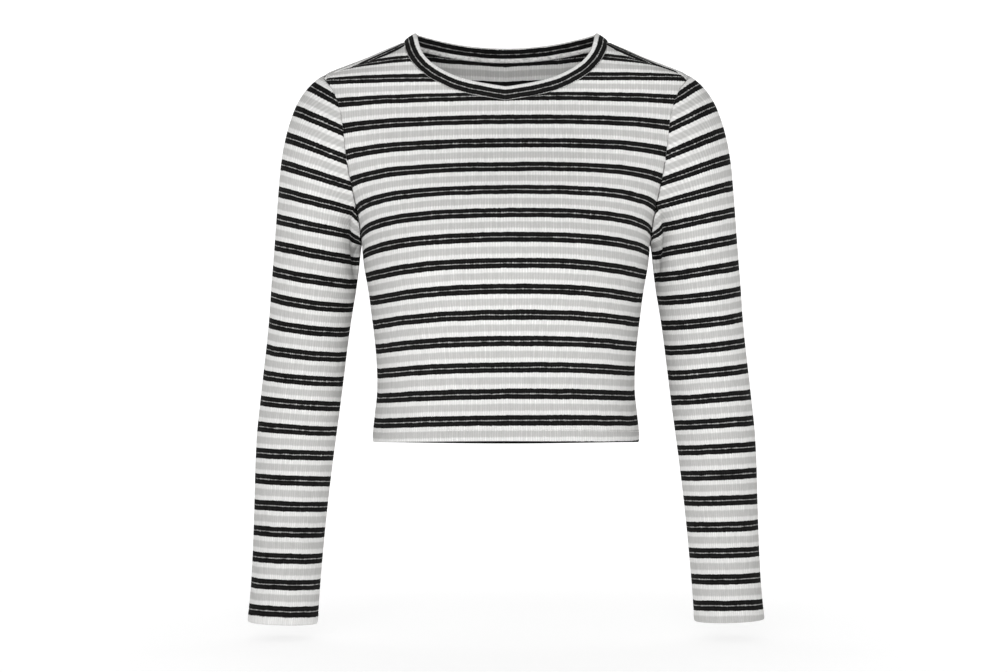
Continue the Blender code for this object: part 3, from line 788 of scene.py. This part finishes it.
def sleeve_repeats(points, forward, pairs):
    """Stripe repeats on a sleeve, between planes through each pair's outer and inner edge.

    forward is 1 at the sleeve's front and -1 at its back, and the planes tilt with it.
    """
    outer_x = np.interp(-pairs["outer"], -SLEEVE["outer_z"], SLEEVE["outer_x"])
    by_seam = form(*armhole(np.arange(ARMHOLE_STEPS // 2)))
    inner_x = np.interp(-pairs["inner"], -np.append(by_seam[:, 2], SLEEVE["inner_z"]),
                        np.append(by_seam[:, 0], SLEEVE["inner_x"]))
    across, rise = inner_x - outer_x, pairs["inner"] - pairs["outer"]
    out = np.abs(points[..., 0, None]) - outer_x
    height = points[..., 2, None] - pairs["front"] * forward[..., None] - pairs["outer"]
    above = (out * rise - height * across) / np.hypot(across, rise)
    below, low, high = bracket(above, above > 0)
    return (below + low / (low - high))[..., 0]


# The tuck in front of each armpit, where the sleeve folds under itself: its line on the left sleeve,
# how deep it is, and how far the stripes on its body side have slipped down, in repeats.
TUCK_LINE = table("height at", (-170, 157.5), (-182, 161.5), (-207, 160.0), (-224, 158.6),
                  (-240, 157.6), (-256, 157.0))
TUCK_ENDS = (-262 * MM, -172 * MM)
TUCK_FADE = 30 * MM
TUCK_START = 5 * MM             # the tuck reaches its depth this far from the sleeve's inner edge
GROOVE_WIDTH = 2.8 * MM
TROUGH_PLACE, TROUGH_WIDTH = 3 * MM, 8 * MM
ROLL_HEIGHT, ROLL_PLACE, ROLL_WIDTH = 1.0 * MM, -5.5 * MM, 3 * MM
SLIP_END, SLIP_FADE, SLIP_WIDTH = -245 * MM, 45 * MM, 2.4 * MM
TUCKS = {  # hand and side of the sleeve: out from the line above, groove, trough beside it, slip
    (-1, 1): (-1.0 * MM, 4.2 * MM, 4.0 * MM, 0.26),
    (1, 1): (-0.5 * MM, 4.4 * MM, 4.2 * MM, 0.28),
    (-1, -1): (2.0 * MM, 1.6 * MM, 1.2 * MM, 0.08),
    (1, -1): (1.5 * MM, 1.7 * MM, 1.2 * MM, 0.10),
}

SLEEVE_FOLDS = {
    "sleeve_left": table(
        FOLD_COLUMNS,
        (-176, -196, -214, -236, 4, 9, -0.8), (-170, -214, -226, -262, 5, 12, 0.7),
        (-178, -300, -236, -322, 4, 11, -0.8), (-184, -330, -246, -344, -4, 12, 0.7),
        (-252, -372, -196, -396, 5, 10, -0.9), (-258, -398, -204, -424, 5, 13, 0.7),
        (-198, -450, -250, -466, -4, 11, -0.7), (-256, -508, -206, -524, 4, 12, 0.6),
        (-212, -556, -256, -566, 3, 11, -0.6), (-206, -112, -228, -176, 4, 14, -0.6)),
    "sleeve_right": table(
        FOLD_COLUMNS,
        (178, -200, 218, -232, -4, 9, -0.9), (172, -222, 230, -268, -5, 12, 0.7),
        (180, -292, 240, -310, 4, 11, -0.7), (186, -322, 248, -340, -4, 13, 0.7),
        (250, -360, 192, -386, -4, 10, -0.9), (256, -392, 202, -412, 4, 12, 0.6),
        (200, -440, 254, -462, 5, 11, -0.8), (258, -492, 208, -516, -4, 12, 0.7),
        (214, -548, 258, -560, 3, 11, -0.6), (208, -104, 230, -170, -4, 14, -0.6)),
}


def tucked(points, hand, side):
    """How far the cloth stands out at the tuck, and how far its stripes slip, in repeats.

    The groove is a bell across its line. A wider, shallower bell lies outside it, and a low roll
    on its body side, where the stripes have slipped. All fade towards the line's ends, and the
    form keeps its place at the sleeve's inner edge.
    """
    out, groove, trough, slip = TUCKS[hand, side]
    height = points[..., 2]
    away = np.abs(points[..., 0]) - out - np.interp(height, TUCK_LINE["height"], TUCK_LINE["at"])
    from_end = np.minimum(height - TUCK_ENDS[0], TUCK_ENDS[1] - height)
    fade = np.sin(np.pi / 2 * np.clip(from_end / TUCK_FADE, 0, 1))
    from_edge = -side * points[..., 1]
    stands = ROLL_HEIGHT * bell(away - ROLL_PLACE, ROLL_WIDTH) - groove * bell(away, GROOVE_WIDTH) \
        - trough * bell(away - TROUGH_PLACE, TROUGH_WIDTH)
    slipped = (from_edge > 0) * np.clip((height - SLIP_END) / SLIP_FADE, 0, 1)
    slipped *= 0.5 - 0.5 * np.tanh(away / SLIP_WIDTH)
    return stands * fade * np.clip(from_edge / TUCK_START, 0, 1), slip * fade * slipped


sleeve_columns = POINTS_A_RIB * SLEEVE_RIBS
sleeve_turns = 2 * np.pi * np.arange(sleeve_columns + 1) / sleeve_columns
cuff_end = SLEEVE["along"][-1]
sleeve_rows = np.concatenate([ARMHOLE_ROWS, SLEEVE_ROWS, cuff_end - HEM_ROWS[::-1]])
sleeve_form = sleeve_surface(sleeve_rows, sleeve_turns)
across_it = np.gradient(sleeve_form, axis=1)
across_it[:, [0, -1]] = (sleeve_form[:, 1] - sleeve_form[:, -2])[:, None]
sleeve_normal = unit(np.cross(across_it, np.gradient(sleeve_form, axis=0)))
sleeve_normal *= np.sign((sleeve_normal * (sleeve_form - sleeve_form.mean(axis=1, keepdims=True))).sum())
sleeve_rib = RIB * np.arange(sleeve_columns + 1) / POINTS_A_RIB
cuff_up = cuff_end - sleeve_rows
underarm = seam_roll(np.linalg.norm(sleeve_form - sleeve_form[:, [sleeve_columns // 2]], axis=-1))
ease = SLEEVE_EASE[0] * (1 - bell(sleeve_rows, SLEEVE_EASE[1]))
sleeve_relief = (turned_edge(cuff_up) - seam_roll(sleeve_rows) + ease)[:, None] \
    - np.maximum(rib_relief(sleeve_rib), underarm)
by_edges = bell(sleeve_rows, SLEEVE_CALM[0]) + bell(cuff_up, SLEEVE_CALM[1])
flat_out = facing_out(sleeve_normal) * (1 - by_edges[:, None])
cuff_lift = bell(cuff_up, CUFF_LIFT_REACH)[:, None, None] * [0, 0, 1]

for name, hand in (("sleeve_left", -1), ("sleeve_right", 1)):
    whole = sleeve_form * [hand, 1, 1] + cuff_lift * CUFF_LIFT[hand]
    tuck_stands, slip = (sum(parts) for parts in zip(*(tucked(whole, hand, side) for side in (1, -1))))
    stands = folded(whole, SLEEVE_FOLDS[name]) * flat_out + tuck_stands
    points = whole + sleeve_normal * (sleeve_relief + stands)[..., None] * [hand, 1, 1]
    points[:, -1] = points[:, 0]
    forward = np.broadcast_to(np.sin(sleeve_turns), whole.shape[:2])
    up = sleeve_repeats(whole, forward, SLEEVE_PAIRS[name]) + slip
    up = np.where(up < -PAIR_EDGE, (up + PAIR_EDGE) * CUFF_SHARE[hand] - PAIR_EDGE, up)
    uv = np.stack([np.broadcast_to(sleeve_rib / RIB, up.shape), up], axis=-1)
    grid = points, uv, lies_double(cuff_up)[:, None]
    if hand < 0:
        grid = [part[::-1] for part in grid]
    piece = cloth_piece(name + "_cloth", grid_mesh(name + "_cloth", [grid]), body_knit)
    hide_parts(name)

# ---------------------------------------------------------------------------------------------
# Neckband: a strip of the striped knit, folded along the white and sewn round the whole neck, so
# that the pair of black stripes runs round it below a white fold. Its ribs run across it.
# ---------------------------------------------------------------------------------------------
BAND_WIDTH = 15.4 * MM
BAND_HALF_THICKNESS = 1.3 * MM
BAND_RISE = {"front": 72, "side": 35, "back": 46}      # degrees from level up to the band's face
BAND_CLOTH = 1.0 * MM
BAND_RIBS = 100                 # on each half of the neck
BAND_ROWS = np.array([0.3, 0.8, 1.6, 3.2, 5, 7, 9, 11, 12.6]) * MM  # of each face, up from the seam
FOLD_ROWS = 9                   # round the fold
BAND_PUFF = 0.5 * MM            # the folded band swells by this between its seam and its fold
BAND_ROLL = 0.7                 # of a panel's roll at its seam
BAND_PAIR = 5.45 * MM           # from the seam up to the middle of the pair on the band's right side
BAND_PAIR_INSIDE = 6.3 * MM     # from the fold down to the middle of the pair inside
BAND_STRETCH = 1.12             # the inside's stripes are drawn out by this much
BAND_TWIST = {"front": 0.6 * MM, "back": 1.2 * MM}     # how much further down the inside's pair lies


def at_ways(ways, way, values):
    """What a line has at some distances along it: way is the distance of each of its points."""
    return np.stack([np.interp(ways, way, column) for column in values.T], axis=-1)


def way_along(line):
    """How far along a line each of its points lies."""
    return np.append(0, np.cumsum(spans(line)))


def neck_path(columns):
    """The neck's edge from centre front to centre back, at even distances."""
    turns = np.linspace(0, np.pi / 2, 200)
    front, back = (neck_curve(side, turns) for side in (1, -1))
    front = form(angle_at(front[:, 0], front[:, 1], 1), front[:, 1])
    back = form(angle_at(back[:, 0], back[:, 1], -1), back[:, 1])
    back[-1, 1] = NECK_BACK_CORNER
    side = over_plan(neck_side(front[-1], back[-1], 40))
    path = np.concatenate([front, side[1:-1], back[::-1]])
    way = way_along(path)
    even = np.linspace(0, way[-1], columns)
    return at_ways(even, way, path), even


def both_halves(points, uv):
    """A grid of single cloth on one half of the neck, and its mirror image, as blocks of a mesh."""
    single = np.zeros((1, 1))
    return [(points, uv, single), (points[::-1] * [-1, 1, 1], uv[::-1] * [-1, 1], single)]


path, way = neck_path(POINTS_A_RIB * BAND_RIBS + 1)
half = np.concatenate([path[1:8][::-1] * [-1, 1, 1], path, path[-8:-1][::-1] * [-1, 1, 1]])
soft = np.stack([np.convolve(half[:, k], np.ones(9) / 9, "same") for k in range(3)], axis=-1)
tangent = unit(np.gradient(soft, axis=0)[7:-7])
outward = unit(np.stack([-tangent[:, 1], tangent[:, 0], np.zeros(len(path))], axis=-1))
outward *= np.sign((outward * path * [1, 1, 0]).sum(axis=1))[:, None]
facing = np.degrees(np.arctan2(-outward[:, 1], outward[:, 0]))
rises = [BAND_RISE[part] for part in ("back", "side", "side", "front")]
rise = np.radians(np.interp(facing, (-90, -15, 15, 90), rises))
band_up = np.sin(rise)[:, None] * [0, 0, 1] - np.cos(rise)[:, None] * outward
band_up = unit(band_up - (band_up * tangent).sum(axis=1)[:, None] * tangent)
band_face = np.cross(band_up, tangent)
band_face *= np.sign((band_face * outward).sum(axis=1))[:, None]

thick = BAND_HALF_THICKNESS
fold = np.radians(np.linspace(90, -90, FOLD_ROWS))
fold_across, fold_out = BAND_WIDTH - thick + thick * np.cos(fold), thick * np.sin(fold)
across = np.concatenate([BAND_ROWS, fold_across, BAND_ROWS[::-1]])
out = np.concatenate([np.full(len(BAND_ROWS), thick), fold_out, np.full(len(BAND_ROWS), -thick)])
puff = BAND_PUFF * np.sin(np.pi * np.clip(across / BAND_WIDTH, 0, 1))
out = np.sign(out) * (np.abs(out) - seam_roll(across - BAND_ROWS[0]) * BAND_ROLL + puff)
girth = way_along(np.stack([across, out], axis=-1))
turn_at = girth[len(BAND_ROWS) + FOLD_ROWS // 2]
middle = path - band_face * CLOTH / 2
band = (middle + across[:, None, None] * band_up
        + (out[:, None] - np.sign(out)[:, None] * rib_relief(way))[..., None] * band_face)
twist = np.interp(facing, (-90, 90), (BAND_TWIST["back"], BAND_TWIST["front"]))
band_repeats = np.where(girth[:, None] <= turn_at, (girth[:, None] - BAND_PAIR) / REPEAT,
                        1 + (girth[:, None] - turn_at - BAND_PAIR_INSIDE - twist) / REPEAT / BAND_STRETCH)
band_uv = np.stack(np.broadcast_arrays(way / RIB, band_repeats), axis=-1)
neckband = cloth_piece("neckband_cloth", grid_mesh("neckband_cloth", both_halves(band, band_uv)),
                       rib_knit("striped rib knit, neckband"), BAND_CLOTH)
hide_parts("neckband")

# ---------------------------------------------------------------------------------------------
# Neck seam: inside, the edges of band and panels are bound together by overlock thread. The bound
# edge is pressed down onto the panels all round, and its loops make a ragged lower edge.
# ---------------------------------------------------------------------------------------------
BINDING_WIDTH = 5.6 * MM
BINDING_ABOVE = 2.0 * MM        # this much of it lies above the seam, on the band
LOOP = 2.1 * MM                 # from one loop of thread to the next
LOOP_REACH = 0.5 * MM           # how far the loops stand out past the cut edge
LOOP_SLANT = 0.35               # of a loop, from one edge of the binding to the other
BINDING_CLOTH = 0.5 * MM
BINDING_OFF = 0.3 * MM          # clear of the cloth at its edges
BINDING_SWELL = 0.7 * MM        # the cut edges inside it lift its middle by this
THREAD_RELIEF = 0.22 * MM
BINDING_COLUMNS, BINDING_ROWS = 601, 8


def thread_material(name, shade):
    """Matt spun thread: a twist in its bump, and strands that are a little paler or darker."""
    material, shader, yarn = new_material(name)
    place = yarn.node("ShaderNodeTexCoord", {}, {}, output="Object")
    strands, patches = place.noise(700.0, 3.0), place.noise(240.0, 2.0)
    low, high = ((*(np.array(shade) * level), 1) for level in (0.55, 1.0))
    paleness = (patches * 3.0 + strands * 1.5).maths("ADD", 0.8, clamp=True)
    yarn.fill(shader, {"Base Color": paleness.mixed(low, high), "Roughness": strands * 0.2 + 0.75,
                       "Normal": strands.bump(0.5, 0.2 * MM), "Specular IOR Level": 0.3})
    return material


binding_path, binding_way = neck_path(BINDING_COLUMNS)
binding_side = np.where(binding_path[:, 1] < 0, 1, -1)
binding_angle = angle_at(binding_path[:, 0], binding_path[:, 2], binding_side)
binding_normal = form_normal(binding_angle, binding_path[:, 2])
binding_down = unit(np.cross(np.gradient(binding_path, axis=0), binding_normal))
up_band, off_band = (at_ways(binding_way, way, part) for part in (band_up, band_face))
binding_down *= -np.sign((binding_down * up_band).sum(axis=1))[:, None]
loop = binding_way / LOOP
shares = np.linspace(0, 1, BINDING_ROWS)[:, None]
reach = BINDING_WIDTH + LOOP_REACH * np.abs((loop % 1) * 2 - 1)
threads = np.abs(np.sin(np.pi * (loop + LOOP_SLANT * shares))) * np.sin(np.pi * shares) ** 0.3
lift = CLOTH + BINDING_OFF + BINDING_SWELL * np.sin(np.pi * shares) ** 0.5 + THREAD_RELIEF * threads
below_seam = shares * reach - BINDING_ABOVE
on_band = np.clip(-below_seam / BINDING_ABOVE, 0, 1)[..., None]
away_from_it = binding_normal * (1 - on_band) + off_band * on_band
run_down = np.where(below_seam[..., None] > 0, binding_down, -up_band)
binding = binding_path + run_down * below_seam[..., None] - away_from_it * lift[..., None]
binding[:, [0, -1], 0] = 0
binding_uv = np.stack(np.broadcast_arrays(loop, shares), axis=-1)
binding_piece = cloth_piece("neck_overlock", grid_mesh("neck_overlock", both_halves(binding, binding_uv)),
                            thread_material("white overlock thread", (0.92, 0.915, 0.90)), BINDING_CLOTH)
2 * way[-1]

# ---------------------------------------------------------------------------------------------
# Stitching: two rows of straight stitches in white thread hold up the hem and each cuff. Each
# stitch is one short raised thread whose ends dip into the cloth.
# ---------------------------------------------------------------------------------------------
STITCH_SPACING = 2.9 * MM
STITCH_LENGTH = 2.5 * MM
STITCH_RADIUS = 0.26 * MM
STITCH_SIDES = 6
STITCH_DEPTH = 0.3 * RIB_RELIEF  # below the crests of the ribs
STITCH_WANDER, STITCH_SLANT = 0.15 * MM, 0.12           # how far stitches stray, and lie askew

# Each ring of a stitch, in thousandths: how far along it, how thick, and how far sunk in the cloth.
STITCH_RINGS = table("at girth sunk", (-500, 350, 420), (-330, 900, 60), (330, 900, 60), (500, 350, 420))

jitter = np.random.default_rng(4)


def stitches(line, normal):
    """Points of stitches at even distances along a line, as an array: stitch, ring, side, xyz.

    Each ring is a circle round the line, at a share of the stitch's length, with a share of the
    thread's radius, and sunk by a share of that radius.
    """
    way = way_along(line)
    centres = np.arange(STITCH_SPACING / 2, way[-1], STITCH_SPACING)
    centres = centres + jitter.uniform(-STITCH_WANDER, STITCH_WANDER, len(centres))
    place, up, along = (at_ways(centres, way, part) for part in (line, normal, np.gradient(line, axis=0)))
    along = unit(along)
    up = unit(up - (up * along).sum(axis=1)[:, None] * along)
    turn = 2 * np.pi * np.arange(STITCH_SIDES) / STITCH_SIDES
    at, girth, sunk = STITCH_RINGS.values()
    slant = jitter.uniform(-STITCH_SLANT, STITCH_SLANT, len(centres))[:, None, None]
    across = np.cross(along, up)[:, None, None]
    round_it = (up[:, None, None] * np.cos(turn)[:, None] + across * np.sin(turn)[:, None]) \
        * (STITCH_RADIUS * girth)[:, None, None]
    length = STITCH_LENGTH * at[:, None, None]
    return place[:, None, None] + along[:, None, None] * length + across * slant[..., None] * length \
        - up[:, None, None] * (STITCH_RADIUS * sunk)[:, None, None] + round_it


def stitching(name, lines):
    """One mesh of all the stitches along some lines, each closed by a face at both ends."""
    points = np.concatenate([stitches(*line) for line in lines])
    count, rings, sides = points.shape[:3]
    ring, side = np.arange(rings - 1)[:, None], np.arange(sides)
    step = (side + 1) % sides
    quads = np.stack(np.broadcast_arrays(ring * sides + side, ring * sides + step,
                                         (ring + 1) * sides + step, (ring + 1) * sides + side), axis=-1)
    ends = np.stack([side[::-1], (rings - 1) * sides + side])
    first = np.arange(count)[:, None, None] * rings * sides
    faces = (first + quads.reshape(-1, 4)).reshape(-1, 4).tolist()
    faces += (first + ends).reshape(-1, sides).tolist()
    mesh = bpy.data.meshes.new(name)
    mesh.from_pydata(points.reshape(-1, 3), [], faces)
    mesh.materials.append(sewing_thread)
    mesh.shade_smooth()
    piece = placed(name, mesh)
    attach(piece, "root")


sewing_thread = thread_material("white sewing thread", (0.85, 0.845, 0.83))
hem_lines, cuff_lines = [], {-1: [], 1: []}
for row in STITCH_ROWS:
    for side in (1, -1):
        points, normal = panels[side][0][:2]
        line = points[row] + normal[row] * (turned_edge(HEM_ROWS[row]) - STITCH_DEPTH)
        across_hem = np.concatenate([line[::-1] * [-1, 1, 1], line[1:]])
        hem_lines.append((across_hem, np.concatenate([normal[row, ::-1] * [-1, 1, 1], normal[row, 1:]])))
    row = len(sleeve_rows) - 1 - row
    line = sleeve_form[row] + sleeve_normal[row] * (turned_edge(cuff_up[row]) - STITCH_DEPTH)
    for hand in (-1, 1):
        lifted = line * [hand, 1, 1] + cuff_lift[row] * CUFF_LIFT[hand]
        cuff_lines[hand].append((lifted, sleeve_normal[row] * [hand, 1, 1]))
stitching("hem_stitches", hem_lines)
stitching("cuff_left_stitches", cuff_lines[-1])
stitching("cuff_right_stitches", cuff_lines[1])

# ---------------------------------------------------------------------------------------------
# The floor, the light and the camera: a pale sweep with large soft lamps, seen from the front.
# The sweep also glows with painted light, dimmer near the garment than further off.
# ---------------------------------------------------------------------------------------------
SWEEP = ((-9.0, -0.63), (3.2, -0.63), (3.8, -0.58), (4.3, -0.40), (4.6, 0.0), (4.75, 0.8), (4.75, 6.0))
profile = np.array(SWEEP)
edges = np.stack([np.stack([np.full(len(profile), x), profile[:, 0], profile[:, 1]], axis=-1)
                  for x in (-9.0, 9.0)], axis=1)
sweep_mesh = bpy.data.meshes.new("sweep")
corner = np.arange(len(profile) * 2).reshape(-1, 2)
sweep_faces = np.stack([corner[:-1, 0], corner[:-1, 1], corner[1:, 1], corner[1:, 0]], axis=-1)
sweep_mesh.from_pydata(edges.reshape(-1, 3), [], sweep_faces.tolist())
sweep_mesh.shade_smooth()
sweep = placed("sweep", sweep_mesh)
glowing_sweep, panel, glow = new_material("white sweep, painted glow")
# The sweep's glow is painted light: 0.75 within about 0.7 m of the origin, where the garment hangs,
# rising to 0.99 past 1.5 m.
place = glow.node("ShaderNodeTexCoord", {}, {}, output="Object")
distance = glow.node("ShaderNodeVectorMath", {"operation": "LENGTH"}, {0: place}, output="Value")
light = distance.below(1.1, 0.8).mixed((0.99, 0.99, 0.99, 1), (0.75, 0.75, 0.75, 1))
glow.fill(panel, {"Base Color": (0.32, 0.32, 0.32, 1), "Roughness": 0.9, "Emission Color": light,
                  "Emission Strength": 1.0})
sweep_mesh.materials.append(glowing_sweep)

# The room is white to a little above eye level and dim over it, so that most light is the lamps'.
world = bpy.data.worlds.new("studio")
world.use_nodes = True
sky = Yarn(world.node_tree)
direction = sky.node("ShaderNodeTexCoord", {}, {}, output="Generated")
height = sky.node("ShaderNodeSeparateXYZ", {}, {0: direction}, output="Z")
sky.fill(world.node_tree.nodes["Background"],
         {"Strength": height.below(0.22, 0.1) * 0.86 + 0.10, "Color": (1, 1, 1, 1)})
bpy.context.scene.world = world

LAMPS = (  # name, place, aim, size and power
    ("key", (-1.6, -2.6, 1.6), (0, 0, -0.3), 2.2, 10),
    ("fill", (1.9, -2.4, 0.9), (0, 0, -0.3), 2.4, 6),
    ("top", (0, 0.2, 2.4), (0, 0, -0.3), 2.6, 7),
    ("front", (-0.3, -3.9, 0.7), (0, 0, -0.3), 2.2, 78),
)
for name, place, aim, size, power in LAMPS:
    lamp = bpy.data.lights.new(name, "AREA")
    lamp.shape, lamp.size, lamp.energy = "SQUARE", size, power
    holder = placed(name, lamp)
    holder.location = place
    away = np.array(aim) - np.array(place)
    holder.rotation_euler = (np.arctan2(np.hypot(away[0], away[1]), -away[2]), 0,
                             np.arctan2(-away[0], away[1]))

camera = bpy.data.cameras.new("camera")
camera.lens = 100.4
camera.sensor_width = 36
viewer = placed("camera", camera)
viewer.location = (-0.0021, -3.0, -0.3105)
viewer.rotation_euler = (np.pi / 2, 0, 0)
bpy.context.scene.camera = viewer
bpy.context.scene.view_settings.view_transform = "Standard"
